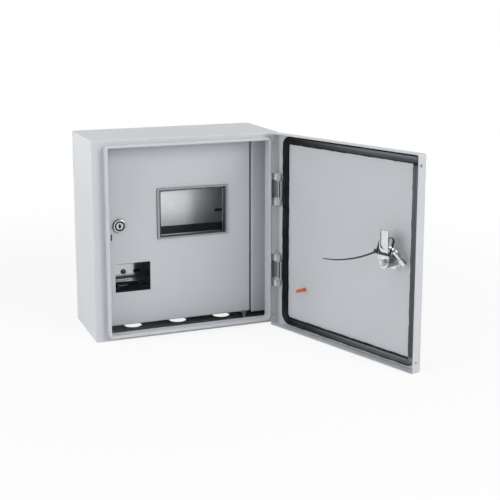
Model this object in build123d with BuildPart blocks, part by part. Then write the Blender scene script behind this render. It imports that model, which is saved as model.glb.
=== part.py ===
"""Wall-mounted sheet steel meter box with an open door and an inner panel.

The origin is the centre of the wall holes on the outer back face. The wall is the
plane y = 0, the front looks towards -Y and +Z is up. All sizes are in millimetres.
"""

import os
from math import cos, radians, sin

from build123d import *

os.makedirs("parts", exist_ok=True)

# Box
body_width = 300.0
body_height = 310.0
body_depth = 131.5
sheet = 1.2
bend = 2.4
side_border = 17.4
end_border = 7.1
collar_width = 4.0
collar_rise = 12.4
collar_leg = 17.5
collar_corner = 7.0
entry_radius = 14.0
entry_pitch = 75.0
wall_hole_radius = 4.0
wall_pitch_x = 240.0
wall_pitch_z = 250.0
weld_gap = 0.1

# Door and its hinges
door_gap = 2.0
door_open_angle = 108.5
flange_depth = 16.3
hinge_flange_trim = 1.3
pin_inset = 5.6
pin_behind_face = 5.2
pin_radius = 2.0
pin_fit = 0.03
hinge_fit = 0.06
hinge_pitch = 130.8
lug_height = 10.0
lug_spacing = 31.0
lug_nose = 3.5
lug_chamfer = 1.8
lug_foot_inner = 12.6
lug_foot_outer = 8.0
pin_stub = 2.2
ear_gap = 0.5
ear_sheet = 1.8
notch_gap = 1.0
notch_lip = 3.0
gasket_width = 12.8
gasket_gap = 0.3
gasket_corner = 17.0
gasket_inner_corner = 5.0
gasket_edge = 2.5
gasket_shift = 2.4
flange_hole_radius = 2.2
flange_hole_inset = 16.0

# Door lock, its tie and its key
lock_inset = 52.0
lock_z = -2.0
lock_head_radius = 13.0
lock_head_rise = 3.0
lock_barrel_radius = 9.3
lock_barrel_length = 22.4
lock_plug_radius = 6.0
lock_clearance = 0.2
turn_fit = 0.06
cam_sheet = 2.5
cam_length = 46.0
cam_root_width = 18.0
cam_tip_width = 16.6
cam_neck = 18.0
cam_arch = 4.0
cam_arch_length = 18.0
cam_arch_fade = 10.0
cam_square = 8.0
tie_width = 3.6
tie_strap = 1.3
tie_tilt = 22.0
tie_rise = 12.0
tie_loop_width = 23.0
tie_corner = 4.0
tie_loop_height = 24.0
key_on_loop = 9.5
key_hole_radius = 3.2
key_ring_wall = 1.8
key_length = 29.5
key_lean = 36.7
key_side = 18.8
key_barrel_radius = 4.6
key_rod_radius = 2.7

# Inner panel
panel_setback = 28.0
panel_side_gap = 2.6
panel_end_gap = 3.2
panel_to_wall = 38.5
panel_flange = 12.0
pivot_inset_x = 8.0
pivot_inset_y = 6.0
pivot_radius = 2.5
window_inset = 96.3
window_z = 32.0
window_width = 105.0
window_height = 70.0
window_rim_x = 6.0
window_rim_z = 5.0
window_rise = 2.5
window_step = 2.2
window_depth = 12.0
cutout_inset = 42.6
cutout_z = -64.8
cutout_width = 56.2
cutout_height = 45.6
panel_lock_inset = 22.5
panel_lock_z = 18.2
jamb_gap = 3.0
jamb_lip = 16.0
jamb_foot = 24.0
pivot_reach = 7.0

# Inside
rail_depth = 72.0
plate_depth = 110.0
plate_inset_left = 54.0
plate_overhang = 6.5
plate_drop = 38.5
plate_top_gap = 21.0
plate_sheet = 1.5
plate_foot_width = 14.0
plate_slot_pitch_x = 130.0
plate_slot_pitch_z = 100.0
rail_height = 35.0
rail_form = 7.5
rail_channel = 27.0
rail_sheet = 1.0
rail_length = 88.0
rail_slot_pitch = 22.0
rail_drop = 3.5
rail_fixing_inset = 58.4
bracket_sheet = 1.5
bracket_width = 16.0
bracket_drop = 24.0
bracket_foot_height = 18.0
earth_inset = 34.0
earth_from_wall = 30.0
earth_radius = 3.0

# Derived positions
half_width = body_width / 2
half_height = body_height / 2
border_y = -body_depth
collar_outer_w = body_width - 2 * side_border
collar_outer_h = body_height - 2 * end_border
collar_inner_w = collar_outer_w - 2 * collar_width
collar_inner_h = collar_outer_h - 2 * collar_width
door_face = door_gap + flange_depth
pin_x = half_width - pin_inset
pin_y = border_y - door_face + pin_behind_face
hinge_half = lug_spacing / 2 + lug_height
swing = radians(door_open_angle)
door_u = Vector(-cos(swing), -sin(swing), 0)
door_n = Vector(-sin(swing), cos(swing), 0)
door_plane = Plane(origin=(pin_x, pin_y, 0), x_dir=door_u, z_dir=door_n)
door_axis = Axis((pin_x, pin_y, 0), door_n)
lock_u = body_width - lock_inset
panel_left = -collar_inner_w / 2 + panel_side_gap
panel_right = half_width - panel_to_wall
panel_half_height = collar_inner_h / 2 - panel_end_gap
window_x = panel_right - window_inset
cutout_x = panel_left + cutout_inset
panel_lock_x = panel_left + panel_lock_inset
plate_left = panel_left + plate_inset_left
plate_right = panel_right + plate_overhang
plate_bottom = window_z - plate_drop
plate_top = half_height - plate_top_gap
panel_y = border_y + panel_setback
pivot_x = panel_right - pivot_inset_x
pivot_y = panel_y + pivot_inset_y


def wall_level(depth):
    """Plane facing the front, at a depth in front of the wall."""
    return Plane.XZ.offset(depth)


def border_level(depth):
    """Plane facing the front, at a depth behind the front border."""
    return Plane.XZ.offset(body_depth - depth)


def door_level(height):
    """Plane facing into the box, at a height above the outer face of the door."""
    return door_plane.offset(height - pin_behind_face)


def door_point(along, up, height):
    """Point of the door, along it from the hinge edge, up, and above its face."""
    return Vector(pin_x, pin_y, up) + door_u * (along - pin_inset) + door_n * (height - pin_behind_face)


def door_slice(up):
    """Level plane with the distance along the door and the height above its pin."""
    return Plane(origin=(pin_x, pin_y, up), x_dir=door_u, z_dir=(0, 0, -1))


def lock_level(height):
    """Plane facing into the box, on the axis of the door lock."""
    return Plane(origin=door_point(lock_u, lock_z, height), x_dir=door_u, z_dir=door_n)


def panel_lock_level(depth):
    """Plane facing the front, on the axis of the inner lock, behind the panel face."""
    return Plane(origin=(panel_lock_x, panel_y + depth, panel_lock_z), x_dir=(1, 0, 0), z_dir=(0, -1, 0))


# Housing: wrapper and front border, folded from one sheet, with the cable entries
with BuildPart() as housing_shell:
    with BuildSketch(wall_level(0)):
        RectangleRounded(body_width, body_height, bend)
    extrude(amount=body_depth)
    fillet(housing_shell.faces().sort_by(Axis.Y)[0].outer_wire().edges(), bend)
    offset(amount=-sheet, openings=housing_shell.faces().sort_by(Axis.Y)[-1])
    with BuildSketch(border_level(sheet + 1)):
        RectangleRounded(collar_outer_w, collar_outer_h, collar_corner)
    extrude(amount=sheet + 2, mode=Mode.SUBTRACT)
    with BuildSketch(Plane.XY.offset(-half_height - 1)):
        with Locations((0, -body_depth / 2)):
            with GridLocations(entry_pitch, 1, 3, 1):
                Circle(entry_radius)
    extrude(amount=sheet + 2, mode=Mode.SUBTRACT)

# Rain collar: roll-formed U profile, bent round the corners and welded into the border
with BuildPart() as rain_collar:
    with BuildSketch(border_level(sheet)):
        RectangleRounded(
            collar_outer_w - 2 * weld_gap, collar_outer_h - 2 * weld_gap, collar_corner - weld_gap
        )
        RectangleRounded(
            collar_outer_w - 2 * sheet, collar_outer_h - 2 * sheet, collar_corner - sheet, mode=Mode.SUBTRACT
        )
    extrude(amount=sheet + collar_rise)
    with BuildSketch(border_level(sheet - collar_rise)):
        RectangleRounded(
            collar_outer_w - 2 * weld_gap, collar_outer_h - 2 * weld_gap, collar_corner - weld_gap
        )
        RectangleRounded(collar_inner_w, collar_inner_h, collar_corner - collar_width, mode=Mode.SUBTRACT)
    extrude(amount=sheet)
    with BuildSketch(border_level(collar_leg - collar_rise)):
        RectangleRounded(
            collar_inner_w + 2 * sheet, collar_inner_h + 2 * sheet, collar_corner - collar_width + sheet
        )
        RectangleRounded(collar_inner_w, collar_inner_h, collar_corner - collar_width, mode=Mode.SUBTRACT)
    extrude(amount=collar_leg)
    fillet(rain_collar.faces().sort_by(Axis.Y)[0].edges(), 0.7)

# Back panel, welded inside the wrapper, with the four wall holes
with BuildPart() as back_panel:
    with BuildSketch(wall_level(0)):
        RectangleRounded(
            body_width - 2 * (sheet + weld_gap), body_height - 2 * (sheet + weld_gap), bend - sheet
        )
        with GridLocations(wall_pitch_x, wall_pitch_z, 2, 2):
            Circle(wall_hole_radius, mode=Mode.SUBTRACT)
    extrude(amount=sheet)

# Four hinge lugs, welded on the front border beside the collar
with BuildPart() as hinge_lugs:
    for centre in (-hinge_pitch / 2, hinge_pitch / 2):
        for side in (-1, 1):
            with BuildSketch(Plane.XY.offset(centre + side * (lug_spacing + lug_height) / 2)):
                with BuildLine():
                    Polyline(
                        (half_width - lug_foot_inner, border_y),
                        (half_width - lug_foot_outer, border_y),
                        (half_width - lug_foot_outer, pin_y + lug_nose),
                        (pin_x + lug_nose - lug_chamfer, pin_y + lug_nose),
                        (pin_x + lug_nose, pin_y + lug_nose - lug_chamfer),
                        (pin_x + lug_nose, pin_y - lug_nose + lug_chamfer),
                        (pin_x + lug_nose - lug_chamfer, pin_y - lug_nose),
                        (half_width - lug_foot_inner + 1.5, pin_y - lug_nose),
                        (half_width - lug_foot_inner, pin_y - lug_nose + 1.5),
                        close=True,
                    )
                make_face()
                with Locations((pin_x, pin_y)):
                    Circle(pin_radius + pin_fit, mode=Mode.SUBTRACT)
            extrude(amount=lug_height / 2, both=True)

# Two hinge pins, each with a stub that stands out towards the middle of the door
with BuildPart() as hinge_pins:
    for side in (-1, 1):
        middle = side * hinge_pitch / 2
        with BuildSketch(Plane.XY.offset(middle - side * (hinge_half + pin_stub))):
            with Locations((pin_x, pin_y)):
                Circle(pin_radius)
        extrude(amount=2 * hinge_half + pin_stub - 0.4, dir=(0, 0, side))
    chamfer(hinge_pins.edges().filter_by(GeomType.CIRCLE), 0.4)

# Jamb: folded strip beside the inner panel, welded to the right wall
jamb_left = panel_right + jamb_gap
jamb_right = half_width - sheet - weld_gap
jamb_half = collar_inner_h / 2 - 1.2
with BuildPart() as panel_jamb:
    with BuildSketch(Plane.XY.offset(-jamb_half)):
        with BuildLine():
            jamb_path = FilletPolyline(
                (jamb_left, panel_y + jamb_lip),
                (jamb_left, panel_y),
                (jamb_right, panel_y),
                (jamb_right, panel_y + jamb_foot),
                radius=1.6,
            )
            offset(amount=sheet, side=Side.LEFT)
        make_face()
    extrude(amount=2 * jamb_half)
    with BuildSketch(border_level(panel_setback + 40)):
        for side in (-1, 1):
            with Locations((jamb_left + 3, side * jamb_half)):
                Rectangle(8, 6)
    extrude(amount=40 - sheet - 0.8, mode=Mode.SUBTRACT)

# Pivot studs of the inner panel, welded to the floor and to the top
with BuildPart() as lower_pivot:
    with BuildSketch(Plane.XY.offset(-half_height + sheet)):
        with Locations((pivot_x, pivot_y)):
            Circle(pivot_radius)
    extrude(amount=half_height - sheet - panel_half_height + pivot_reach)
    chamfer(lower_pivot.edges().group_by(Axis.Z)[-1], 0.5)

with BuildPart() as upper_pivot:
    with BuildSketch(Plane.XY.offset(half_height - sheet)):
        with Locations((pivot_x, pivot_y)):
            Circle(pivot_radius)
    extrude(amount=-(half_height - sheet - panel_half_height + pivot_reach))
    chamfer(upper_pivot.edges().group_by(Axis.Z)[0], 0.5)

# Shoulder nuts that carry the panel flanges on the pivot studs
with BuildPart() as pivot_collars:
    for side in (-1, 1):
        with BuildSketch(Plane.XY.offset(side * (panel_half_height + 0.3))):
            with Locations((pivot_x, pivot_y)):
                RegularPolygon(5.0, 6, major_radius=False)
                Circle(pivot_radius + pin_fit, mode=Mode.SUBTRACT)
        extrude(amount=3.2, dir=(0, 0, side))

# Galvanised meter plate: a shallow tray standing off the back panel
plate_y = border_y + plate_depth
plate_mid_x = (plate_left + plate_right) / 2
plate_mid_z = (plate_bottom + plate_top) / 2
plate_screw_pitch = plate_right - plate_left + plate_foot_width + plate_sheet
with BuildPart() as meter_plate:
    with BuildSketch(Plane.XY.offset(plate_bottom)):
        with BuildLine():
            plate_path = FilletPolyline(
                (plate_left - plate_foot_width, -sheet - weld_gap),
                (plate_left, -sheet - weld_gap),
                (plate_left, plate_y),
                (plate_right, plate_y),
                (plate_right, -sheet - weld_gap),
                (plate_right + plate_foot_width, -sheet - weld_gap),
                radius=2.0,
            )
            offset(amount=plate_sheet, side=Side.RIGHT)
        make_face()
    extrude(amount=plate_top - plate_bottom)
    with BuildSketch(border_level(plate_depth + 5)):
        with Locations((plate_mid_x, plate_mid_z)):
            with GridLocations(plate_slot_pitch_x, plate_slot_pitch_z, 2, 2):
                SlotOverall(16, 5)
    extrude(amount=10, mode=Mode.SUBTRACT)
    with BuildSketch(wall_level(0)):
        with Locations((plate_mid_x, plate_mid_z)):
            with GridLocations(plate_screw_pitch, plate_slot_pitch_z, 2, 2):
                Circle(2.2)
    extrude(amount=6, mode=Mode.SUBTRACT)

# Screws that hold the feet of the meter plate
plate_foot = sheet + weld_gap + plate_sheet
with BuildPart() as plate_screws:
    with BuildSketch(wall_level(plate_foot)):
        with Locations((plate_mid_x, plate_mid_z)):
            with GridLocations(plate_screw_pitch, plate_slot_pitch_z, 2, 2):
                Circle(4.0)
    extrude(amount=2.6)
    fillet(plate_screws.faces().sort_by(Axis.Y)[:4].edges(), 1.0)
    with BuildSketch(wall_level(sheet)):
        with Locations((plate_mid_x, plate_mid_z)):
            with GridLocations(plate_screw_pitch, plate_slot_pitch_z, 2, 2):
                Circle(2.0)
    extrude(amount=plate_foot - sheet)

# Mounting rail, 35 mm wide and 7.5 mm deep, behind the breaker cut-out
rail_y = border_y + rail_depth
rail_left = panel_left + 4.0
rail_fixing_x = rail_left + rail_fixing_inset
rail_z = cutout_z - rail_drop
with BuildPart() as din_rail:
    with BuildSketch(Plane.YZ.offset(rail_left)):
        with BuildLine():
            rail_path = FilletPolyline(
                (rail_y, rail_z - rail_height / 2),
                (rail_y, rail_z - rail_channel / 2),
                (rail_y + rail_form - rail_sheet, rail_z - rail_channel / 2),
                (rail_y + rail_form - rail_sheet, rail_z + rail_channel / 2),
                (rail_y, rail_z + rail_channel / 2),
                (rail_y, rail_z + rail_height / 2),
                radius=0.9,
            )
            offset(amount=rail_sheet, side=Side.RIGHT)
        make_face()
    extrude(amount=rail_length)
    with BuildSketch(border_level(rail_depth + 12)):
        with Locations((rail_fixing_x, rail_z)):
            with GridLocations(rail_slot_pitch, 1, 3, 1):
                SlotOverall(12, 5.2)
    extrude(amount=12, mode=Mode.SUBTRACT)

# Two folded brackets between the back panel and the rail
rail_back = rail_y + rail_form
bracket_foot = sheet + weld_gap + bracket_sheet
with BuildPart() as rail_brackets:
    for foot_x in (rail_fixing_x - rail_slot_pitch, rail_fixing_x + rail_slot_pitch):
        with BuildSketch(Plane.YZ.offset(foot_x - bracket_width / 2)):
            with BuildLine():
                bracket_path = FilletPolyline(
                    (rail_back, rail_z + rail_channel / 3),
                    (rail_back, rail_z - bracket_drop),
                    (-bracket_foot, rail_z - bracket_drop),
                    (-bracket_foot, rail_z - bracket_drop - bracket_foot_height),
                    radius=2.0,
                )
                offset(amount=bracket_sheet, side=Side.LEFT)
            make_face()
        extrude(amount=bracket_width)

# Pan head screws of the rail
with BuildPart() as rail_screws:
    with BuildSketch(border_level(rail_depth + rail_form - rail_sheet)):
        with Locations((rail_fixing_x, rail_z)):
            with GridLocations(2 * rail_slot_pitch, 1, 2, 1):
                Circle(4.2)
    extrude(amount=2.4)
    fillet(rail_screws.faces().sort_by(Axis.Y)[:2].edges(), 0.9)
    with BuildSketch(border_level(rail_depth + rail_form)):
        with Locations((rail_fixing_x, rail_z)):
            with GridLocations(2 * rail_slot_pitch, 1, 2, 1):
                Circle(2.0)
    extrude(amount=rail_sheet)

# Catch on the left wall, in front of the closed cam of the inner lock
panel_cam_depth = 18.0
panel_cam_sheet = 2.0
catch_y = panel_y + panel_cam_depth - 0.6
with BuildPart() as latch_catch:
    with BuildSketch(Plane.XY.offset(panel_lock_z - 14)):
        with BuildLine():
            catch_path = FilletPolyline(
                (-half_width + sheet + weld_gap, catch_y - 26),
                (-half_width + sheet + weld_gap, catch_y),
                (panel_left - 1.6, catch_y),
                radius=2.0,
            )
            offset(amount=1.5, side=Side.RIGHT)
        make_face()
    extrude(amount=28)

# Earth stud of the box with its nut, on the floor at the right
earth_x = half_width - earth_inset
earth_y = -earth_from_wall
with BuildPart() as body_earth_stud:
    with BuildSketch(Plane.XY.offset(-half_height + sheet)):
        with Locations((earth_x, earth_y)):
            Circle(earth_radius)
    extrude(amount=20)
    chamfer(body_earth_stud.edges().group_by(Axis.Z)[-1], 0.6)

with BuildPart() as earth_nut:
    with BuildSketch(Plane.XY.offset(-half_height + sheet)):
        with Locations((earth_x, earth_y)):
            Circle(2 * earth_radius)
            Circle(earth_radius + pin_fit, mode=Mode.SUBTRACT)
    extrude(amount=1.6)
    with BuildSketch(Plane.XY.offset(-half_height + sheet + 1.6)):
        with Locations((earth_x, earth_y)):
            RegularPolygon(earth_radius + 2, 6, major_radius=False)
            Circle(earth_radius + pin_fit, mode=Mode.SUBTRACT)
    extrude(amount=5)

# Door tray, folded on all four sides and notched round the hinges
door_mid = half_width - pin_inset
with BuildPart() as door_shell:
    with BuildSketch(door_level(0)):
        with Locations((door_mid, 0)):
            RectangleRounded(body_width, body_height, bend)
    extrude(amount=flange_depth)
    fillet(door_shell.faces().sort_by(door_axis)[0].edges(), bend)
    offset(amount=-sheet, openings=door_shell.faces().sort_by(door_axis)[-1])
    with BuildSketch(door_level(flange_depth - hinge_flange_trim)):
        with Locations((-pin_inset, 0)):
            Rectangle(2 * sheet + 0.4, body_height - 2 * bend)
    extrude(amount=hinge_flange_trim + 1, mode=Mode.SUBTRACT)
    with BuildSketch(door_level(notch_lip)):
        with Locations((-pin_inset, hinge_pitch / 2), (-pin_inset, -hinge_pitch / 2)):
            Rectangle(2 * sheet + 0.4, 2 * (hinge_half + notch_gap))
    extrude(amount=flange_depth, mode=Mode.SUBTRACT)
    with BuildSketch(Plane(origin=door_point(-1, 0, 0), x_dir=(0, 0, 1), z_dir=door_u)):
        for side in (-1, 1):
            with Locations((side * (half_height - flange_hole_inset), 0.66 * flange_depth)):
                Circle(flange_hole_radius)
    extrude(amount=body_width + 2, mode=Mode.SUBTRACT)
    with BuildSketch(door_level(-1)):
        with Locations((lock_u - pin_inset, lock_z)):
            Circle(lock_barrel_radius + lock_clearance)
    extrude(amount=sheet + 2, mode=Mode.SUBTRACT)

# Door gasket: foamed bead that meets the front of the collar
bead_height = door_face - collar_rise - sheet - gasket_gap
bead_outer_w = collar_outer_w + gasket_width + 0.6
bead_outer_h = body_height - 2 * (sheet + gasket_edge)
with BuildPart() as door_gasket:
    with BuildSketch(door_level(sheet)):
        with Locations((door_mid + gasket_shift, 0)):
            RectangleRounded(bead_outer_w, bead_outer_h, gasket_corner)
            RectangleRounded(
                bead_outer_w - 2 * gasket_width,
                bead_outer_h - 2 * gasket_width,
                gasket_inner_corner,
                mode=Mode.SUBTRACT,
            )
    extrude(amount=bead_height)
    fillet(door_gasket.faces().sort_by(door_axis)[-1].edges(), 0.55 * bead_height)

# Two hinge brackets, folded as open trays and spot welded on the inside of the door
ear_foot = 9.8
bracket_wall = 5.6
bracket_wall_u = 7.0
ear_reach = lug_nose - 0.3
ear_top = lug_spacing / 2 - ear_gap
with BuildPart() as door_hinge_brackets:
    for centre in (-hinge_pitch / 2, hinge_pitch / 2):
        with BuildSketch(door_slice(centre + ear_top)):
            with BuildLine():
                Polyline(
                    (ear_reach, 0),
                    (ear_reach, sheet - pin_behind_face),
                    (-ear_reach, sheet - pin_behind_face),
                    (-ear_reach, 0),
                )
                ThreePointArc((-ear_reach, 0), (0, ear_reach), (ear_reach, 0))
            make_face()
            Circle(pin_radius + hinge_fit, mode=Mode.SUBTRACT)
        extrude(amount=2 * ear_top)
        with BuildSketch(door_slice(centre + ear_top - ear_sheet)):
            with Locations((0, sheet + ear_sheet - pin_behind_face + 10)):
                Rectangle(4 * ear_reach, 20)
        extrude(amount=2 * (ear_top - ear_sheet), mode=Mode.SUBTRACT)
        with BuildSketch(door_level(sheet)):
            with Locations((bracket_wall_u - ear_foot / 2, centre)):
                Rectangle(ear_foot, 2 * ear_top)
        extrude(amount=ear_sheet)
        with BuildSketch(door_level(sheet)):
            with Locations((bracket_wall_u - sheet / 2, centre)):
                Rectangle(sheet, 2 * ear_top)
        extrude(amount=bracket_wall)

# Earth stud of the door and its orange sleeve
stud_u = 64.0
stud_z = -85.7
stud_radius = 2.0
stud_length = 15.0
with BuildPart() as door_earth_stud:
    with BuildSketch(door_level(sheet)):
        with Locations((stud_u - pin_inset, stud_z)):
            Circle(stud_radius)
    extrude(amount=stud_length)

with BuildPart() as stud_sleeve:
    with BuildSketch(door_level(sheet)):
        with Locations((stud_u - pin_inset, stud_z)):
            Circle(stud_radius + 0.8)
    extrude(amount=stud_length + 3)
    fillet(stud_sleeve.faces().sort_by(door_axis)[-1].edges(), 1.2)
    with BuildSketch(door_level(sheet)):
        with Locations((stud_u - pin_inset, stud_z)):
            Circle(stud_radius + pin_fit)
    extrude(amount=stud_length + 0.3, mode=Mode.SUBTRACT)

# Door lock, fixed parts: head outside, barrel through the door, nut inside
barrel_top = sheet + lock_barrel_length - 1.0
plug_bore = lock_plug_radius + turn_fit
with BuildPart() as lock_body:
    with BuildSketch(lock_level(-lock_head_rise)):
        Circle(lock_head_radius)
    extrude(amount=lock_head_rise)
    chamfer(lock_body.faces().sort_by(door_axis)[0].edges(), 1.0)
    with BuildSketch(lock_level(0)):
        Circle(lock_barrel_radius)
    extrude(amount=barrel_top)
    with BuildSketch(lock_level(-lock_head_rise - 1)):
        Circle(plug_bore)
    extrude(amount=barrel_top + lock_head_rise + 2, mode=Mode.SUBTRACT)
    with BuildSketch(lock_level(-lock_head_rise - 1)):
        Circle(lock_plug_radius + 2.3)
    extrude(amount=2.5, mode=Mode.SUBTRACT)

with BuildPart() as lock_nut:
    with BuildSketch(lock_level(sheet)):
        Circle(lock_barrel_radius + 4.7)
    extrude(amount=1.6)
    with BuildSketch(lock_level(sheet + 1.6)):
        RegularPolygon(lock_barrel_radius + 2.7, 6, major_radius=False)
    extrude(amount=4.4)
    with BuildSketch(lock_level(sheet)):
        Circle(lock_barrel_radius + pin_fit)
    extrude(amount=8, mode=Mode.SUBTRACT)

# Door lock, turning parts: plug with its key recess, cam and cam nut
cam_bottom = barrel_top + 0.3
cam_top = cam_bottom + cam_sheet
arch_end = door_point(lock_u, lock_z + cam_length, cam_top)
with BuildPart() as lock_plug:
    with BuildSketch(lock_level(-lock_head_rise + 0.3)):
        Circle(lock_plug_radius + 2.0)
    extrude(amount=1.0)
    with BuildSketch(lock_level(-lock_head_rise + 1.3)):
        Circle(lock_plug_radius)
    extrude(amount=barrel_top + lock_head_rise - 1.3)
    with BuildSketch(lock_level(barrel_top)):
        Rectangle(cam_square, cam_square)
    extrude(amount=cam_bottom - barrel_top + cam_sheet)
    with BuildSketch(lock_level(cam_top)):
        Circle(3.0)
    extrude(amount=5.4)
    with BuildSketch(lock_level(-lock_head_rise)):
        Circle(4.5)
        Rectangle(3.0, 9.4, mode=Mode.SUBTRACT)
    extrude(amount=8, mode=Mode.SUBTRACT)

with BuildPart() as lock_cam:
    with BuildSketch(lock_level(cam_bottom)):
        Circle(cam_root_width / 2)
        with BuildLine():
            Polyline(
                (-cam_root_width / 2, 0),
                (cam_root_width / 2, 0),
                (cam_root_width / 2, cam_neck / 2),
                (cam_tip_width / 2, cam_neck),
                (cam_tip_width / 2, cam_length),
                (-cam_tip_width / 2, cam_length),
                (-cam_tip_width / 2, cam_neck),
                (-cam_root_width / 2, cam_neck / 2),
                close=True,
            )
        make_face()
        Rectangle(cam_square + 2 * turn_fit, cam_square + 2 * turn_fit, mode=Mode.SUBTRACT)
    extrude(amount=cam_sheet)
    for length, rise in ((0, cam_arch), (cam_arch_length, cam_arch), (cam_arch_length + cam_arch_fade, 0)):
        with BuildSketch(Plane(origin=arch_end - Vector(0, 0, length), x_dir=door_u, z_dir=(0, 0, -1))):
            with BuildLine():
                ThreePointArc((-cam_tip_width / 2, -1), (0, rise - 0.2), (cam_tip_width / 2, -1))
                Line((cam_tip_width / 2, -1), (-cam_tip_width / 2, -1))
            make_face()
    loft(ruled=True)

with BuildPart() as cam_nut:
    with BuildSketch(lock_level(cam_top)):
        RegularPolygon(5.0, 6, major_radius=False)
        Circle(3.0 + pin_fit, mode=Mode.SUBTRACT)
    extrude(amount=4)

# Cable tie: a flat strap round the cam, tilted back, with its head and long tail
tilt = radians(tie_tilt)
tie_v = cam_top + 0.6 + tie_width / 2 * cos(tilt)
tie_centre = door_point(lock_u, lock_z + tie_rise, tie_v)
tie_normal = door_n * cos(tilt) + Vector(0, 0, 1) * sin(tilt)
tie_plane = Plane(origin=tie_centre, x_dir=door_u, z_dir=tie_normal)
tie_left = -cam_root_width / 2 - 1.1
tie_mid = tie_left + tie_loop_width / 2
with BuildPart() as cable_tie:
    with BuildSketch(tie_plane):
        with Locations((tie_mid, tie_loop_height / 2)):
            RectangleRounded(
                tie_loop_width + 2 * tie_strap, tie_loop_height + 2 * tie_strap, tie_corner + tie_strap
            )
            RectangleRounded(tie_loop_width, tie_loop_height, tie_corner, mode=Mode.SUBTRACT)
    extrude(amount=tie_width / 2, both=True)
    with BuildSketch(tie_plane):
        with BuildLine():
            ThreePointArc((tie_left - 2, 1.5), (tie_left - 46, -18.0), (tie_left - 96, -27.0))
        trace(line_width=tie_strap)
    extrude(amount=tie_width / 2, both=True)
    with BuildSketch(tie_plane):
        with Locations((tie_left - 2.4, 2.0)):
            Rectangle(4.6, 5.4)
    extrude(amount=tie_width / 2 + 0.9, both=True)

# Key: eye on the side of the tie, round rod and tubular bit end, leaning back on the door
lean = radians(key_lean)
side = radians(key_side)
key_eye = (
    tie_centre
    + door_u * (tie_left + tie_loop_width + tie_strap / 2)
    + (Vector(0, 0, 1) * cos(tilt) - door_n * sin(tilt)) * key_on_loop
)
key_back = Vector(0, 0, -cos(lean)) - door_n * sin(lean)
key_along = key_back * cos(side) + door_u * sin(side)
strap_up = Vector(0, 0, 1) * cos(tilt) - door_n * sin(tilt)
key_turn = (strap_up - key_along * strap_up.dot(key_along)).normalized()
key_rod_start = key_hole_radius + 1.2
with BuildPart() as key:
    with BuildSketch(Plane(origin=key_eye, x_dir=key_along, z_dir=key_turn)):
        Circle(key_hole_radius + key_ring_wall)
        Circle(key_hole_radius, mode=Mode.SUBTRACT)
    extrude(amount=1.3, both=True)
    with BuildSketch(Plane(origin=key_eye + key_along * key_rod_start, x_dir=key_turn, z_dir=key_along)):
        Circle(key_rod_radius)
    extrude(amount=key_length - key_rod_start - 6)
    with BuildSketch(Plane(origin=key_eye + key_along * (key_length - 10), x_dir=key_turn, z_dir=key_along)):
        Circle(key_barrel_radius)
    extrude(amount=10)
    with BuildSketch(Plane(origin=key_eye + key_along * (key_length - 7), x_dir=key_turn, z_dir=key_along)):
        RegularPolygon(2.9, 3)
    extrude(amount=8, mode=Mode.SUBTRACT)

# Inner panel: folded tray with the window, the breaker cut-out and the lock hole
panel_mid = (panel_left + panel_right) / 2
panel_width = panel_right - panel_left
window_hole_w = window_width + 5.0
window_hole_h = window_height + 5.0
panel_lock_barrel = 8.0
with BuildPart() as inner_panel:
    with BuildSketch(border_level(panel_setback)):
        with Locations((panel_mid, 0)):
            RectangleRounded(panel_width, 2 * panel_half_height, 1.6)
    extrude(amount=-panel_flange)
    fillet(inner_panel.faces().sort_by(Axis.Y)[0].edges(), 1.8)
    offset(amount=-sheet, openings=inner_panel.faces().sort_by(Axis.Y)[-1])
    with BuildSketch(border_level(panel_setback + sheet + 1)):
        with Locations((window_x, window_z)):
            Rectangle(window_hole_w, window_hole_h)
        with Locations((cutout_x, cutout_z)):
            Rectangle(cutout_width, cutout_height)
        with Locations((panel_lock_x, panel_lock_z)):
            Circle(panel_lock_barrel + lock_clearance)
        with Locations((panel_left + 9.8, 0.6)):
            Rectangle(2.2, 10)
    extrude(amount=sheet + 2, mode=Mode.SUBTRACT)
    with BuildSketch(Plane.XY.offset(-half_height)):
        with Locations((pivot_x, pivot_y)):
            Circle(pivot_radius + hinge_fit)
    extrude(amount=body_height, mode=Mode.SUBTRACT)

# Window frame: bezel in front and a spigot through the panel
with BuildPart() as window_frame:
    with BuildSketch(border_level(panel_setback)):
        with Locations((window_x, window_z)):
            RectangleRounded(window_width + 2 * window_rim_x, window_height + 2 * window_rim_z, 1.5)
            RectangleRounded(window_width, window_height, 1.0, mode=Mode.SUBTRACT)
    extrude(amount=window_rise)
    fillet(window_frame.faces().sort_by(Axis.Y)[0].edges(), 0.8)
    with BuildSketch(border_level(panel_setback - 1)):
        with Locations((window_x, window_z)):
            Rectangle(window_width + 2 * window_step, window_height + 2 * window_step)
    extrude(amount=window_rise, mode=Mode.SUBTRACT)
    with BuildSketch(border_level(panel_setback)):
        with Locations((window_x, window_z)):
            Rectangle(window_hole_w - 0.6, window_hole_h - 0.6)
            Rectangle(window_hole_w - 2.8, window_hole_h - 2.8, mode=Mode.SUBTRACT)
    extrude(amount=-window_depth)

# Clear window pane, held at the back of the frame
with BuildPart() as window_pane:
    with BuildSketch(border_level(panel_setback + window_depth - 2.4)):
        with Locations((window_x, window_z)):
            Rectangle(window_hole_w - 3.0, window_hole_h - 3.0)
    extrude(amount=-2)

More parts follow.
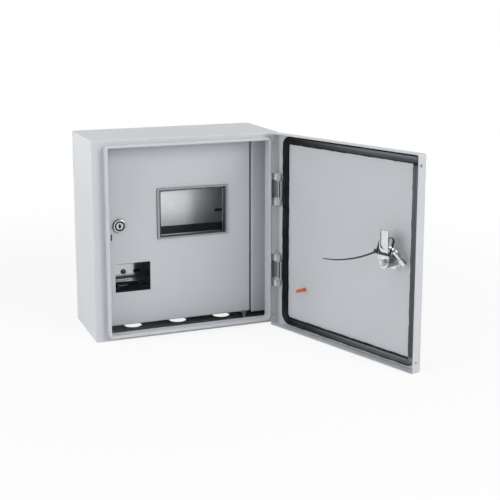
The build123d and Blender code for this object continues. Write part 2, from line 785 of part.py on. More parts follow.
# Inner lock, fixed parts
panel_plug_radius = 5.5
panel_bore = panel_plug_radius + turn_fit
with BuildPart() as panel_lock_body:
    with BuildSketch(panel_lock_level(0)):
        Circle(panel_lock_barrel + 2.3)
    extrude(amount=4)
    fillet(panel_lock_body.faces().sort_by(Axis.Y)[0].edges(), 1.2)
    with BuildSketch(panel_lock_level(0)):
        Circle(panel_lock_barrel)
    extrude(amount=-(panel_cam_depth - 0.4))
    with BuildSketch(panel_lock_level(-5)):
        Circle(panel_bore)
    extrude(amount=-(panel_cam_depth + 10), mode=Mode.SUBTRACT)
    with BuildSketch(panel_lock_level(-5)):
        Circle(panel_lock_barrel)
    extrude(amount=-2.2, mode=Mode.SUBTRACT)

with BuildPart() as panel_lock_nut:
    with BuildSketch(panel_lock_level(sheet)):
        RegularPolygon(panel_lock_barrel + 2.5, 6, major_radius=False)
        Circle(panel_lock_barrel + pin_fit, mode=Mode.SUBTRACT)
    extrude(amount=-4)

# Inner lock, turning parts
panel_cam_square = 6.0
panel_cam_length = 31.0
with BuildPart() as panel_lock_plug:
    with BuildSketch(panel_lock_level(-3.6)):
        Circle(panel_plug_radius)
    extrude(amount=-(panel_cam_depth + 3.6 - 0.4))
    with BuildSketch(panel_lock_level(panel_cam_depth - 0.4)):
        Rectangle(panel_cam_square, panel_cam_square)
    extrude(amount=-(panel_cam_sheet + 0.4))
    with BuildSketch(panel_lock_level(panel_cam_depth + panel_cam_sheet)):
        Circle(2.0)
    extrude(amount=-4)
    with BuildSketch(panel_lock_level(-4)):
        Rectangle(2.0, 8.0)
        Circle(2.3)
    extrude(amount=-6, mode=Mode.SUBTRACT)

with BuildPart() as panel_lock_cam:
    with BuildSketch(panel_lock_level(panel_cam_depth)):
        Circle(7.0)
        with BuildLine():
            Polyline((-7, 0), (7, 0), (6, panel_cam_length), (-6, panel_cam_length), close=True)
        make_face()
        Rectangle(panel_cam_square + 2 * turn_fit, panel_cam_square + 2 * turn_fit, mode=Mode.SUBTRACT)
    extrude(amount=-panel_cam_sheet)

with BuildPart() as panel_cam_nut:
    with BuildSketch(panel_lock_level(panel_cam_depth + panel_cam_sheet)):
        RegularPolygon(3.5, 6, major_radius=False)
        Circle(2.0 + pin_fit, mode=Mode.SUBTRACT)
    extrude(amount=-3)

housing_shell.part.label = "housing_shell"
rain_collar.part.label = "rain_collar"
back_panel.part.label = "back_panel"
hinge_lugs.part.label = "hinge_lugs"
hinge_pins.part.label = "hinge_pins"
panel_jamb.part.label = "panel_jamb"
lower_pivot.part.label = "lower_pivot"
upper_pivot.part.label = "upper_pivot"
pivot_collars.part.label = "pivot_collars"
meter_plate.part.label = "meter_plate"
plate_screws.part.label = "plate_screws"
din_rail.part.label = "din_rail"
rail_brackets.part.label = "rail_brackets"
rail_screws.part.label = "rail_screws"
latch_catch.part.label = "latch_catch"
body_earth_stud.part.label = "body_earth_stud"
earth_nut.part.label = "earth_nut"
door_shell.part.label = "door_shell"
door_gasket.part.label = "door_gasket"
door_hinge_brackets.part.label = "door_hinge_brackets"
door_earth_stud.part.label = "door_earth_stud"
stud_sleeve.part.label = "stud_sleeve"
lock_body.part.label = "lock_body"
lock_nut.part.label = "lock_nut"
lock_plug.part.label = "lock_plug"
lock_cam.part.label = "lock_cam"
cam_nut.part.label = "cam_nut"
cable_tie.part.label = "cable_tie"
key.part.label = "key"
inner_panel.part.label = "inner_panel"
window_frame.part.label = "window_frame"
window_pane.part.label = "window_pane"
panel_lock_body.part.label = "panel_lock_body"
panel_lock_nut.part.label = "panel_lock_nut"
panel_lock_plug.part.label = "panel_lock_plug"
panel_lock_cam.part.label = "panel_lock_cam"
panel_cam_nut.part.label = "panel_cam_nut"

export_step(housing_shell.part, "parts/housing_shell.step")
export_step(rain_collar.part, "parts/rain_collar.step")
export_step(back_panel.part, "parts/back_panel.step")
export_step(hinge_lugs.part, "parts/hinge_lugs.step")
export_step(hinge_pins.part, "parts/hinge_pins.step")
export_step(panel_jamb.part, "parts/panel_jamb.step")
export_step(lower_pivot.part, "parts/lower_pivot.step")
export_step(upper_pivot.part, "parts/upper_pivot.step")
export_step(pivot_collars.part, "parts/pivot_collars.step")
export_step(meter_plate.part, "parts/meter_plate.step")
export_step(plate_screws.part, "parts/plate_screws.step")
export_step(din_rail.part, "parts/din_rail.step")
export_step(rail_brackets.part, "parts/rail_brackets.step")
export_step(rail_screws.part, "parts/rail_screws.step")
export_step(latch_catch.part, "parts/latch_catch.step")
export_step(body_earth_stud.part, "parts/body_earth_stud.step")
export_step(earth_nut.part, "parts/earth_nut.step")
export_step(door_shell.part, "parts/door_shell.step")
export_step(door_gasket.part, "parts/door_gasket.step")
export_step(door_hinge_brackets.part, "parts/door_hinge_brackets.step")
export_step(door_earth_stud.part, "parts/door_earth_stud.step")
export_step(stud_sleeve.part, "parts/stud_sleeve.step")
export_step(lock_body.part, "parts/lock_body.step")
export_step(lock_nut.part, "parts/lock_nut.step")
export_step(lock_plug.part, "parts/lock_plug.step")
export_step(lock_cam.part, "parts/lock_cam.step")
export_step(cam_nut.part, "parts/cam_nut.step")
export_step(cable_tie.part, "parts/cable_tie.step")
export_step(key.part, "parts/key.step")
export_step(inner_panel.part, "parts/inner_panel.step")
export_step(window_frame.part, "parts/window_frame.step")
export_step(window_pane.part, "parts/window_pane.step")
export_step(panel_lock_body.part, "parts/panel_lock_body.step")
export_step(panel_lock_nut.part, "parts/panel_lock_nut.step")
export_step(panel_lock_plug.part, "parts/panel_lock_plug.step")
export_step(panel_lock_cam.part, "parts/panel_lock_cam.step")
export_step(panel_cam_nut.part, "parts/panel_cam_nut.step")
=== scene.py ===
"""Wall-mounted meter box in light grey powder coat, seen with its door standing open."""

import math

import bmesh
import bpy
import numpy as np
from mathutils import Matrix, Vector


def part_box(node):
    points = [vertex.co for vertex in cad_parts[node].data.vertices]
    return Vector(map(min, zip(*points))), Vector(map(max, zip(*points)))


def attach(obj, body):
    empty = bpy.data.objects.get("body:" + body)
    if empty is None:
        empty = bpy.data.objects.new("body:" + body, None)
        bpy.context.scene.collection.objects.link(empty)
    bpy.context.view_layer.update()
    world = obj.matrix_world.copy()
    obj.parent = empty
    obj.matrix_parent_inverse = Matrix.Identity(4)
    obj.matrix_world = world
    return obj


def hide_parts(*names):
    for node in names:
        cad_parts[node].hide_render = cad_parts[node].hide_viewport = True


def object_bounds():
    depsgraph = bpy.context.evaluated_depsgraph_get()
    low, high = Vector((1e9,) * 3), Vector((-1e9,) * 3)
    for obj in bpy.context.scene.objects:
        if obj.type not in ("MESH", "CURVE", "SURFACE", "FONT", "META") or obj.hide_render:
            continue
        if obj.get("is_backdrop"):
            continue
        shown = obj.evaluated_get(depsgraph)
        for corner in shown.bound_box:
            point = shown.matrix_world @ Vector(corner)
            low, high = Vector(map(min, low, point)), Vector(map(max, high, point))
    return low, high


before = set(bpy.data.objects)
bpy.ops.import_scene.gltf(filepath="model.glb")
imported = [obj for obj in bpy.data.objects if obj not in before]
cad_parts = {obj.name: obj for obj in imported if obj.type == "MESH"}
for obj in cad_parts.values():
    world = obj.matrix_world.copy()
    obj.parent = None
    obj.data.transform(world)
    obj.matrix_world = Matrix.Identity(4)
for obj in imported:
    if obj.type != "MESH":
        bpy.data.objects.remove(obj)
cad_low, cad_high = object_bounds()
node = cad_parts


# Rain collar, hinge lugs, jamb and catch: mild steel sheet, folded and spot welded to the
# box, then powder coated light grey with it in one go, so the coat runs over every fold
# with the same fine orange-peel grain.
class Wire:
    """One node output: arithmetic on it adds Math nodes, node() adds any other kind."""

    def __init__(self, tree, out=None):
        self.tree, self.out = tree, out

    def node(self, kind, settings=None, values=None, take=0):
        """Adds a node with its settings, then the values or links of its sockets."""
        made = self.tree.nodes.new("ShaderNode" + kind)
        for name, value in (settings or {}).items():
            setattr(made, name, value)
        for key, value in (values or {}).items():
            if isinstance(value, Wire):
                self.tree.links.new(value.out, made.inputs[key])
            else:
                made.inputs[key].default_value = value
        return Wire(self.tree, made.outputs[take] if made.outputs else None)

    def math(self, operation, *values):
        return self.node("Math", {"operation": operation}, dict(enumerate(values)))

    def __add__(self, other):
        return self.math("ADD", self, other)

    def __sub__(self, other):
        return self.math("SUBTRACT", self, other)

    def __rsub__(self, other):
        return self.math("SUBTRACT", other, self)

    def __mul__(self, other):
        return self.math("MULTIPLY", self, other)

    def __abs__(self):
        return self.math("ABSOLUTE", self)

    __radd__, __rmul__ = __add__, __mul__

    def mix(self, low, high):
        """Colour low where this value is 0 and high where it is 1."""
        return self.node("Mix", {"data_type": "RGBA"}, {0: self, 6: low, 7: high}, 2)

    def ramp(self, low, high):
        """0 up to low and 1 from high on, with a soft step between them."""
        return self.node("MapRange", {"interpolation_type": "SMOOTHSTEP"},
                         {0: self, 1: low, 2: high, 3: 0.0, 4: 1.0})

    def axis(self, take):
        """One coordinate of a place: 0, 1 and 2 are x, y and z."""
        return self.node("SeparateXYZ", None, {0: self}, take)

    def dot(self, direction):
        """How far a place lies along a direction of length 1."""
        return self.node("VectorMath", {"operation": "DOT_PRODUCT"}, {0: self, 1: tuple(direction)}, 1)

    def noise(self, place, scale, detail=2.0):
        """Cloudy values from 0 to 1, with scale as the number of patches in a metre."""
        return self.node("TexNoise", None,
                         {"Vector": place, "Scale": scale, "Detail": detail, "Roughness": 0.5})

    def bump(self, height, distance, strength):
        return self.node("Bump", None, {"Strength": strength, "Distance": distance, "Height": height})


def finish(name):
    """A new material: returns it, a wire to start from, and its Object coordinates."""
    made = bpy.data.materials.new(name)
    made.use_nodes = True
    made.node_tree.nodes.clear()
    start = Wire(made.node_tree)
    return made, start, start.node("TexCoord", None, None, 3)


def close(made, start, sockets):
    """Ends a material in one Principled shader with these socket values."""
    shader = start.node("BsdfPrincipled", None, sockets)
    start.node("OutputMaterial", None, {"Surface": shader})
    return made


def coat(*names, material):
    """Gives CAD nodes this material and no other."""
    for name in names:
        mesh = node[name].data
        mesh.materials.clear()
        mesh.materials.append(material)


def rgb(r, g, b):
    """Display values from 0 to 255 as linear colour."""
    v = np.array([r, g, b]) / 255.0
    low, high = v / 12.92, ((v + 0.055) / 1.055) ** 2.4
    return (*np.where(v <= 0.04045, low, high).tolist(), 1.0)


def orange_peel(w, place):
    """The coat's peel, its clouds, its colour, and the relief of peel and finer grain."""
    peel, grain, cloud = w.noise(place, 520.0), w.noise(place, 1400.0), w.noise(place, 7.0, 3.0)
    paint = cloud.mix(rgb(199, 203, 207), rgb(206, 209, 213))
    return peel, cloud, paint, w.bump(peel + 0.4 * grain, 0.0004, 0.6)


grey_coat, w, place = finish("grey_powder_coat")
peel, cloud, paint, relief = orange_peel(w, place)
grey_coat = close(grey_coat, w, {
    "Base Color": paint,
    "Roughness": 0.36 + 0.16 * peel,
    "Normal": relief,
    "Specular IOR Level": 0.45,
})
coat("rain_collar", "hinge_lugs", "panel_jamb", "latch_catch", material=grey_coat)


# Wrapper: sheet folded round the box and into the border in front, in the same coat.
# Deep inside, behind the inner panel, the coat turns to a darker half-metal grey as
# painted shade, and between the hinge lugs the border is darkened as painted shade.
half_width, half_height = 0.150, 0.155
inner_skin, outer_skin = 0.0009, 0.0004
shade_starts, shade_full = -0.118, -0.098
hinge_height, half_gap = 0.0654, 0.0146
border_front, hinge_shade_left = -0.1312, 0.1335
wrapper_coat, w, place = finish("wrapper_coat")
peel, cloud, paint, relief = orange_peel(w, place)
side, height = abs(place.axis(0)), abs(place.axis(2))
inside = 1.0 - side.ramp(half_width - inner_skin, half_width - outer_skin)
inside = inside * (1.0 - height.ramp(half_height - inner_skin, half_height - outer_skin))
# Painted shade: the inside turns darker towards the back of the box.
painted_depth_shade = inside * (place.axis(1) + 0.006 * cloud).ramp(shade_starts, shade_full)
# Painted shade: the border between the hinge lugs is darkened.
painted_hinge_shade = 1.0 - abs(height - hinge_height).ramp(half_gap, half_gap + 0.001)
painted_hinge_shade = painted_hinge_shade * (1.0 - place.axis(1).ramp(border_front, border_front + 0.0003))
painted_hinge_shade = painted_hinge_shade * (place.axis(0) + 0.001 * peel).ramp(hinge_shade_left, hinge_shade_left + 0.002)
wrapper_coat = close(wrapper_coat, w, {
    "Base Color": painted_hinge_shade.mix(painted_depth_shade.mix(paint, rgb(158, 160, 163)), rgb(110, 112, 115)),
    "Metallic": 0.35 * painted_depth_shade,
    "Roughness": 0.36 + 0.16 * peel - 0.12 * painted_hinge_shade,
    "Normal": relief,
    "Specular IOR Level": 0.45,
})
coat("housing_shell", material=wrapper_coat)


# Back panel: sheet welded inside the wrapper and coated from outside only, so its
# inner face keeps the bare zinc skin of the sheet, brushed level by the rolling mill;
# that zinc is made dark as painted shade of the closed box.
coat_depth = 0.0007
back_sheet, w, place = finish("back_sheet")
inside = (-1.0 * place.axis(1)).ramp(coat_depth, coat_depth + 0.0003)
peel = w.noise(place, 520.0)
rolled = w.noise(w.node("Mapping", None, {0: place, 3: (14.0, 1.0, 900.0)}), 1.0, 3.0)
# Painted shade: the bare zinc of the inner face is kept dark.
shaded_zinc = rolled.mix(rgb(70, 72, 75), rgb(98, 100, 103))
back_sheet = close(back_sheet, w, {
    "Base Color": inside.mix(rgb(203, 206, 210), shaded_zinc),
    "Metallic": inside * 0.9,
    "Roughness": 0.42 + 0.10 * peel - 0.08 * inside,
    "Normal": w.bump(peel * (1.0 - inside) + rolled * inside, 0.0003, 0.16),
})
coat("back_panel", material=back_sheet)


# Hinge pins, studs and nuts: turned steel with a zinc plating, which comes out of the
# barrel a little clouded. The hinge pins get a darker copy of it as painted shade.
def plated_steel(name, dull, bright):
    """Zinc plating that is clouded between two colours and finely scratched."""
    made, w, place = finish(name)
    blotch = w.noise(place, 160.0, 4.0)
    scratch = w.noise(place, 2400.0)
    return close(made, w, {
        "Base Color": blotch.mix(dull, bright),
        "Metallic": 1.0,
        "Roughness": 0.22 + 0.16 * blotch,
        "Normal": w.bump(scratch, 0.00004, 0.4),
    })


zinc_plate = plated_steel("zinc_plate", rgb(164, 168, 173), rgb(202, 205, 209))
coat("lower_pivot", "upper_pivot", "pivot_collars", "earth_nut", "door_earth_stud",
     "cam_nut", "panel_cam_nut", material=zinc_plate)
# Painted shade: a darker copy of the zinc plating for the hinge pins.
coat("hinge_pins", material=plated_steel("shaded_pin_zinc", rgb(138, 140, 144), rgb(174, 176, 180)))


# Earth stud of the box: a zinc plated screw thread welded to the floor, with its nut
# run down on it.
def skin(name, grids, body, material, stands_for, ring=False):
    """One piece over equal (rows, columns, 3) grids, each closed round its columns.

    The rows of a ring close on themselves, and others end in two flat caps.
    """
    grids = np.asarray(grids)
    pieces, rows, columns = grids.shape[:3]
    index = np.arange(pieces * rows * columns).reshape(pieces, rows, columns)
    here, there = (index, np.roll(index, -1, 1)) if ring else (index[:, :-1], index[:, 1:])
    faces = np.stack([here, np.roll(here, -1, 2), np.roll(there, -1, 2), there], -1)
    faces = faces.reshape(-1, 4).tolist()
    if not ring:
        faces += index[:, 0].tolist() + index[:, -1].tolist()
    mesh = bpy.data.meshes.new(name)
    mesh.from_pydata(grids.reshape(-1, 3).tolist(), [], faces)
    work = bmesh.new()
    work.from_mesh(mesh)
    bmesh.ops.recalc_face_normals(work, faces=work.faces)
    work.to_mesh(mesh)
    work.free()
    mesh.polygons.foreach_set("use_smooth", np.ones(len(mesh.polygons), dtype=bool))
    mesh.set_sharp_from_angle(angle=math.radians(40.0))
    mesh.materials.append(material)
    made = bpy.data.objects.new(name, mesh)
    bpy.context.collection.objects.link(made)
    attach(made, body)
    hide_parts(stands_for)


def threaded_rod(low, high, pitch, depth):
    """Upright rod in the box from low to high, with a thread wound round it.

    The radius is R - depth * (1 - |saw|), where saw runs from -1 to 1 once a pitch up
    the height, less one pitch a turn of the angle. Both ends taper by the depth.
    """
    steps_a_pitch, steps_a_turn = 8, 28
    middle = (low + high) / 2
    z = np.linspace(low[2], high[2], int((high[2] - low[2]) / pitch * steps_a_pitch))[:, None]
    turn = np.linspace(0.0, 1.0, steps_a_turn, endpoint=False)[None, :]
    saw = 2.0 * np.mod(z / pitch - turn, 1.0) - 1.0
    taper = np.minimum(1.0, np.minimum(z - low[2], high[2] - z) / (2 * depth))
    r = (high[0] - low[0]) / 2 - depth * (1.0 - np.abs(saw)) - depth * (1.0 - taper)
    angle = 2 * np.pi * turn
    return np.stack([middle[0] + r * np.cos(angle), middle[1] + r * np.sin(angle), z + 0 * angle], -1)


thread_pitch, thread_depth = 0.001, 0.0005
stud_low, stud_high = (np.array(corner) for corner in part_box("body_earth_stud"))
skin("earth_stud_thread", [threaded_rod(stud_low, stud_high, thread_pitch, thread_depth)],
     "box", zinc_plate, "body_earth_stud")


# Meter plate: a shallow tray of hot-dip galvanised strip, screwed to the back panel.
# Its zinc crystals show as faint flakes in a smooth, half-bright skin.
galvanised, w, place = finish("galvanised_strip")
flake = w.node("TexVoronoi", {"feature": "F1"}, {"Vector": place, "Scale": 420.0}, 1)
flake = w.node("SeparateColor", None, {0: flake})
haze = w.noise(place, 24.0)
galvanised = close(galvanised, w, {
    "Base Color": flake.mix(rgb(238, 240, 242), rgb(246, 248, 250)),
    "Metallic": 1.0,
    "Roughness": 0.44 + 0.03 * haze,
    "Normal": w.bump(haze, 0.0006, 0.10),
})
coat("meter_plate", material=galvanised)


# Mounting rail and its brackets: bright zinc plated strip, roll formed to the usual
# top-hat profile and held by two screws through its slots.
rail_zinc, w, place = finish("rail_zinc")
drawn = w.noise(w.node("Mapping", None, {0: place, 3: (12.0, 700.0, 700.0)}), 1.0, 3.0)
rail_zinc = close(rail_zinc, w, {
    "Base Color": drawn.mix(rgb(168, 170, 173), rgb(204, 206, 208)),
    "Metallic": 1.0,
    "Roughness": 0.10 + 0.06 * drawn,
    "Normal": w.bump(drawn, 0.0001, 0.2),
})
coat("din_rail", "rail_brackets", material=rail_zinc)


# Screws of the meter plate and of the rail: pan heads with a cross recess, zinc plated
# and driven from the front. Those of the rail are burnished dark.
def pan_head(radius, shank, rise, grip, recess, arm):
    """Pan head screw on a level with its seat at y = 0, looking towards -Y.

    Over the polar grid (r, angle) the head rises by H * (1 - (r / R)^5)^0.5, less the
    recess times a soft cross, which is 2 arms wide and 7 arms long in x and in z.
    """
    steps_round, steps_in, soft = 64, 40, 0.12 * arm
    angle = np.linspace(0.0, 2 * np.pi, steps_round, endpoint=False)[None, :]
    r = radius * np.sin(np.linspace(np.pi / 2, 0.02, steps_in))[:, None]
    x, z = r * np.cos(angle), r * np.sin(angle)
    wide, high = (1.0 / (1.0 + np.exp((np.abs(t) - arm) / soft)) for t in (x, z))
    long, tall = (1.0 / (1.0 + np.exp((np.abs(t) - 3.5 * arm) / soft)) for t in (x, z))
    head = rise * np.sqrt(np.maximum(0.0, 1.0 - (r / radius) ** 5))
    head = head - recess * np.maximum(wide * tall, high * long)
    stem = shank / radius * np.stack([x[0], 0 * x[0], z[0]], -1)
    return np.stack([stem + [0, grip, 0], stem, *np.stack([x, -head, z], -1)])


shank_radius, cross_depth, cross_arm = 0.0020, 0.0015, 0.00055
burnished = plated_steel("burnished_zinc", rgb(66, 68, 71), rgb(104, 106, 109))
for fixed, rows, radius, rise, plating in (
    ("plate_screws", 2, 0.0040, 0.0026, zinc_plate), ("rail_screws", 1, 0.0042, 0.0024, burnished)
):
    low, high = (np.array(corner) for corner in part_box(fixed))
    upright = np.linspace(low[2] + radius, high[2] - radius, rows)
    x, z = np.meshgrid([low[0] + radius, high[0] - radius], upright)
    seats = np.stack([x.ravel(), 0 * x.ravel() + low[1] + rise, z.ravel()], -1)
    screw = pan_head(radius, shank_radius, rise, high[1] - low[1] - rise, cross_depth, cross_arm)
    skin(fixed[:-1] + "_heads", screw[None] + seats[:, None, None, :],
         "box", plating, fixed)


# Inner panel: the same coated sheet, folded back on four sides and hung on the two
# pivot studs, with the window and the breaker cut-out punched in it.
coat("inner_panel", material=grey_coat)


# Window frame: a snap-in plastic moulding with a grey bezel in front. Behind the bezel
# the lining of the opening, as deep as the folds of the panel, is near black as painted shade.
bezel_back = -0.10525
window_moulding, w, place = finish("window_moulding")
grain = w.noise(place, 2200.0)
# Painted shade: the lining behind the bezel is darkened.
painted_reveal_shade = place.axis(1).ramp(bezel_back, bezel_back + 0.0003)
window_moulding = close(window_moulding, w, {
    "Base Color": painted_reveal_shade.mix(grain.mix(rgb(150, 153, 157), rgb(162, 165, 169)), rgb(40, 42, 45)),
    "Roughness": 0.36 + 0.1 * grain,
    "Normal": w.bump(grain, 0.00005, 0.3),
})
coat("window_frame", material=window_moulding)


# Window pane: clear plastic sheet with a low-glare skin, clipped in at the back of
# the frame.
clear_sheet, w, place = finish("clear_sheet")
smear = w.noise(place, 60.0, 3.0)
gloss = w.node("BsdfPrincipled", None, {
    "Base Color": (0.93, 0.96, 0.97, 1.0), "Roughness": 0.03 + 0.03 * smear, "IOR": 1.3})
clear = w.node("BsdfTransparent", None, {"Color": (0.99, 0.994, 0.995, 1.0)})
edge = w.node("Fresnel", None, {"IOR": 1.2})
w.node("OutputMaterial", None, {"Surface": w.node("MixShader", None, {0: edge, 1: clear, 2: gloss})})
coat("window_pane", material=clear_sheet)


# Inner lock: die-cast zinc body and plug, bright on the faces that stand proud; the rim,
# the step round the plug and the keyhole behind them are near black as painted shade.
proud_face = -0.1069
lock_casting, w, place = finish("lock_casting")
ripple = w.noise(place, 420.0)
# Painted shade: every face behind the proud face is darkened.
painted_recess_shade = (place.axis(1) + 0.0002 * ripple).ramp(proud_face, proud_face + 0.0003)
lock_casting = close(lock_casting, w, {
    "Base Color": painted_recess_shade.mix(ripple.mix(rgb(172, 174, 177), rgb(212, 213, 215)), rgb(34, 35, 37)),
    "Metallic": 1.0,
    "Roughness": 0.08 + 0.10 * ripple + 0.2 * painted_recess_shade,
    "Normal": w.bump(ripple, 0.0002, 0.3),
})
coat("panel_lock_body", "panel_lock_plug", material=lock_casting)


# Cam and nut of the inner lock: bright plated steel behind the panel, where the cam
# closes behind the catch of the box.
bright_plate, w, place = finish("bright_plate")
ripple = w.noise(place, 420.0)
bright_plate = close(bright_plate, w, {
    "Base Color": ripple.mix(rgb(200, 202, 204), rgb(236, 237, 238)),
    "Metallic": 1.0,
    "Roughness": 0.05 + 0.08 * ripple,
    "Normal": w.bump(ripple, 0.0002, 0.3),
})
coat("panel_lock_nut", "panel_lock_cam", material=bright_plate)


# Door: a tray folded on four sides in the same coat, with drain holes near the ends of
# its two upright flanges.
coat("door_shell", material=grey_coat)


# Door hinge brackets: folded from strip, spot welded inside the tray and coated with it.
# The bed under each pin is painted dark as painted shade.
pin = np.array([0.1444, -0.1446, 0.0])
pin_inset, pin_depth, sheet = 0.0056, 0.0052, 0.0012
bed_level = 0.0034
swing = math.radians(108.5)
door_along = np.array([-math.cos(swing), -math.sin(swing), 0.0])
door_inward = np.array([-math.sin(swing), math.cos(swing), 0.0])
painted_shade_bed, w, place = finish("painted_shade_bed")
above = place.dot(door_inward) - (door_inward @ pin - pin_depth)
peel = w.noise(place, 520.0)
# Painted shade: the low bed under the pin is darkened.
bed_shade = 1.0 - (above + 0.0006 * peel).ramp(bed_level, bed_level + 0.0008)
painted_shade_bed = close(painted_shade_bed, w, {
    "Base Color": bed_shade.mix(rgb(203, 206, 210), rgb(66, 68, 71)),
    "Roughness": 0.40 + 0.12 * peel - 0.12 * bed_shade,
    "Normal": w.bump(peel, 0.0004, 0.22),
})
coat("door_hinge_brackets", material=painted_shade_bed)


# Door gasket: polyurethane foam poured round the door in two overlapping beads, so a
# furrow runs along its middle. The skin is closed and shines in streaks where it set
# smooth. Its upper side is painted pale towards the free edge of the door as a painted
# highlight, and the feet of the bead stay dark as painted shade.
def on_door(along, up, height):
    """Places on the open door: along it from the hinge edge, up, and above its outer face."""
    return (pin + np.multiply.outer(along - pin_inset, door_along)
            + np.multiply.outer(height - pin_depth, door_inward)
            + np.multiply.outer(up, np.array([0, 0, 1.0])))


def bead_ring(middle, half_wide, half_high, corners, half_width, height):
    """Double bead along a rounded rectangle that is walked at even steps of its length.

    The corners turn left from the upper one at the free edge, each with its radius.
    Across the bead, with w from -1 to 1, the height is H * (1 - 0.4 * exp(-(w / 0.26)^2))
    * (1 - w^8)^0.5. The line sways by a few tenths of a millimetre, as poured foam does.
    """
    steps_a_corner, steps_round, steps_across = 25, 900, 33
    corner = np.repeat(corners, steps_a_corner)
    quarter = np.linspace(0.0, np.pi / 2, steps_a_corner)
    angle = (quarter[None, :] + np.pi / 2 * np.arange(4)[:, None]).ravel()
    x = np.repeat([1, -1, -1, 1], steps_a_corner) * (half_wide - corner) + corner * np.cos(angle)
    z = np.repeat([1, 1, -1, -1], steps_a_corner) * (half_high - corner) + corner * np.sin(angle)
    x, z, angle = np.append(x, x[0]), np.append(z, z[0]), np.append(angle, 2 * np.pi)
    length = np.concatenate([[0.0], np.cumsum(np.hypot(np.diff(x), np.diff(z)))])
    walk = np.linspace(0.0, length[-1], steps_round, endpoint=False)
    turn = 2 * np.pi * walk / length[-1]
    x, z, angle = (np.interp(walk, length, values) for values in (x, z, angle))
    sway = 0.00022 * np.sin(19 * turn + 0.6) + 0.00016 * np.sin(43 * turn)
    sway = sway + 0.0001 * np.sin(88 * turn + 1.9)
    swell = 0.96 + 0.03 * np.sin(27 * turn + 2.1) + 0.02 * np.sin(61 * turn)
    w = np.concatenate([np.sin(np.linspace(-np.pi / 2, np.pi / 2, steps_across)), [0.5, 0.0, -0.5]])
    h = height * (1 - 0.4 * np.exp(-((w / 0.26) ** 2))) * np.sqrt(np.maximum(0.0, 1 - w ** 8))
    h[steps_across:] = 0.0
    across = sway[:, None] + half_width * w[None, :]
    return on_door(middle + x[:, None] + across * np.cos(angle)[:, None],
                   z[:, None] + across * np.sin(angle)[:, None], sheet + h[None, :] * swell[:, None])


ring_middle, ring_half_wide, ring_half_high = 0.1524, 0.1329, 0.1449
upper_corner, lower_corner = 0.0076, 0.0106
bead_half, bead_height = 0.0063, 0.0044
foam_skin, w, place = finish("foam_skin")
pore = w.noise(place, 900.0, 4.0)
wave = w.noise(place, 60.0)
streak = w.noise(place, 70.0).ramp(0.35, 0.75)
along = place.dot(door_along) - (door_along @ pin - pin_inset)
up = place.axis(2)
level_run = abs(up).ramp(ring_half_high - 0.0099, ring_half_high - 0.0059)
upper_side = (up - ring_half_high * w.math("SIGN", up)).ramp(-0.0070, 0.0060)
off_line = w.math("MAXIMUM", abs(up) - ring_half_high, abs(along - ring_middle) - ring_half_wide)
# Painted shade: the feet of the bead are kept dark.
painted_foot_shade = abs(off_line).ramp(0.0034, 0.0052)
# Painted highlight: pale on the upper side of the bead, growing towards the free edge.
painted_top_light = level_run * upper_side + (1.0 - level_run) * (0.46 + 0.8 * up)
painted_top_light = painted_top_light * (along + 0.04 * wave).ramp(0.03, 0.24) * (1.0 - painted_foot_shade)
clean_foam = pore.mix(rgb(4, 5, 7), rgb(14, 16, 19))
foam_skin = close(foam_skin, w, {
    "Base Color": painted_top_light.mix(clean_foam, pore.mix(rgb(112, 116, 122), rgb(146, 150, 156))),
    "Roughness": 0.26 + 0.14 * pore,
    "Coat Weight": 0.4 * streak,
    "Coat Roughness": 0.12,
    "Normal": w.bump(wave + 0.12 * pore, 0.0008, 0.4),
    "Specular IOR Level": 0.12,
})
ring_corners = (upper_corner, upper_corner, lower_corner, lower_corner)
bead = bead_ring(ring_middle, ring_half_wide, ring_half_high, ring_corners, bead_half, bead_height)
skin("gasket_bead", [bead], "door", foam_skin, "door_gasket", ring=True)


# Stud sleeve: soft orange plastic cap pushed over the welded earth stud of the door,
# which keeps the coat off its thread.
orange_cap, w, place = finish("orange_cap")
mottle = w.noise(place, 300.0)
orange_cap = close(orange_cap, w, {
    "Base Color": mottle.mix(rgb(218, 98, 50), rgb(236, 124, 74)),
    "Roughness": 0.36 + 0.1 * mottle,
    "Normal": w.bump(mottle, 0.0001, 0.3),
})
coat("stud_sleeve", material=orange_cap)


# Door lock: a die-cast barrel held by a hexagon nut. Its plating is a darker copy of
# that of the plug and of the formed cam, which sits on the end of the plug, as painted shade.
shaded_barrel_plate, w, place = finish("shaded_barrel_plate")
ripple = w.noise(place, 260.0, 3.0)
# Painted shade: a darker copy of the plating with broad dark patches for the barrel.
shaded_barrel_plate = close(shaded_barrel_plate, w, {
    "Base Color": ripple.mix(rgb(84, 86, 90), rgb(190, 192, 194)),
    "Metallic": 1.0,
    "Roughness": 0.06 + 0.10 * ripple,
    "Normal": w.bump(ripple, 0.0004, 0.4),
})
coat("lock_body", material=shaded_barrel_plate)
coat("lock_nut", "lock_plug", "lock_cam", material=bright_plate)


# Cable tie: moulded black nylon strap round the cam, with fine teeth across it. It
# holds the key by its eye.
tooth_pitch = 0.0011
black_nylon, w, place = finish("black_nylon")
grain = w.noise(place, 900.0)
teeth = w.math("SINE", place.dot(door_along) * (2 * math.pi / tooth_pitch))
black_nylon = close(black_nylon, w, {
    "Base Color": grain.mix(rgb(16, 16, 17), rgb(28, 28, 30)),
    "Roughness": 0.36 + 0.12 * grain,
    "Normal": w.bump(teeth + grain, 0.00012, 0.5),
})
coat("cable_tie", material=black_nylon)


# Key: turned steel with an eye, a round rod and a tube with a three-sided socket,
# nickel plated and polished.
coat("key", material=bright_plate)


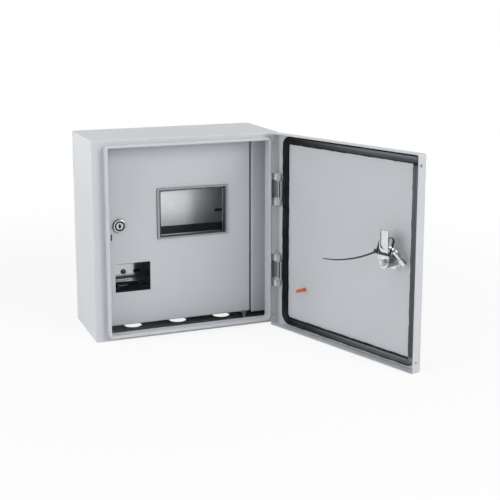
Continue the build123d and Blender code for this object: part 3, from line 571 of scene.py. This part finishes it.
# Floor and air: a pale studio floor that fades into a white surround. Both stay white
# to the camera and in reflections, apart from the dim room above the camera, and
# the floor keeps the shadow of the box.
floor_reach, floor_level = 6, cad_low[2] - 0.0004
floor_mesh = bpy.data.meshes.new("studio_floor")
u, v = np.meshgrid([-floor_reach, floor_reach], [-floor_reach, floor_reach])
corners = np.stack([u, v, 0 * u + floor_level], -1).reshape(-1, 3).tolist()
floor_mesh.from_pydata(corners, [], [(0, 1, 3, 2)])
studio_floor = bpy.data.objects.new("studio_floor", floor_mesh)
bpy.context.collection.objects.link(studio_floor)
studio_floor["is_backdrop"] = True


def sight_lines(w):
    """Three values: 1 on rays from the camera, on mirrored rays and on rays through a pane."""
    return (w.node("LightPath", None, None, take) for take in (0, 3, 6))


pale_floor, w, place = finish("pale_floor")
direct, mirrored, passed = sight_lines(w)
seen = w.math("MAXIMUM", w.math("MAXIMUM", direct, mirrored), passed)
far = w.node("VectorMath", {"operation": "LENGTH"}, {0: place}, 1)
far = 0.86 + 0.14 * far.ramp(0.35, 1.1)
dull = w.node("BsdfDiffuse", None, {"Color": (0.86, 0.86, 0.86, 1.0)})
white = w.node("Emission", None, {"Color": (1, 1, 1, 1), "Strength": 1.0})
w.node("OutputMaterial", None, {"Surface": w.node("MixShader", None, {0: far * seen, 1: dull, 2: white})})
floor_mesh.materials.append(pale_floor)

air_strength = 0.227
world = bpy.data.worlds.new("white_air")
bpy.context.scene.world = world
world.use_nodes = True
world.node_tree.nodes.clear()
w = Wire(world.node_tree)
way = w.node("TexCoord", None, None, 0)
room = (-1.0 * way.axis(1)).ramp(0.0, 0.4) * way.axis(2).ramp(0.25, 0.5)
direct, mirrored, passed = sight_lines(w)
seen = w.math("MAXIMUM", w.math("MAXIMUM", direct, mirrored * (1.0 - room)), passed)
air = w.node("Background", None, {"Color": (1, 1, 1, 1), "Strength": air_strength})
white = w.node("Background", None, {"Color": (1, 1, 1, 1), "Strength": 1.0})
w.node("OutputWorld", None, {"Surface": w.node("MixShader", None, {0: seen, 1: air, 2: white})})


# Lamps: large soft boxes at the left, at the right front and above, and weaker ones at
# both sides and behind, as round a small product table.
table_middle = Vector((0.05, -0.15, 0.0))
for name, spot, size, power in (
    ("left_box", (-1.9, -0.9, 0.8), 1.4, 13.0),
    ("front_box", (1.2, -2.2, 0.9), 1.2, 30.0),
    ("top_box", (-0.2, -0.35, 1.9), 1.2, 12.0),
    ("side_box", (-2.0, 0.1, 0.5), 1.0, 7.5),
    ("back_box", (-1.4, 1.9, 0.3), 1.2, 11.0),
    ("right_box", (2.3, 0.4, 0.3), 1.2, 9.0),
):
    lamp = bpy.data.lights.new(name, "AREA")
    lamp.energy, lamp.size = power, size
    soft_box = bpy.data.objects.new(name, lamp)
    bpy.context.collection.objects.link(soft_box)
    soft_box.location = spot
    soft_box.rotation_euler = (table_middle - Vector(spot)).to_track_quat("-Z", "Y").to_euler()


# Camera: long lens from the left and a little above, with the box in the middle of
# the frame.
tilt_down, turn_right = 0.1812, 0.3785
camera = bpy.data.cameras.new("camera")
camera.lens, camera.sensor_width = 74.88, 36.0
camera.shift_y = -0.12
eye = bpy.data.objects.new("camera", camera)
bpy.context.collection.objects.link(eye)
eye.location = (-0.4929, -1.6248, 0.3594)
eye.rotation_euler = (math.pi / 2 - tilt_down, 0.0, -turn_right)
bpy.context.scene.camera = eye
bpy.context.scene.view_settings.view_transform = "Standard"

low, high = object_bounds()
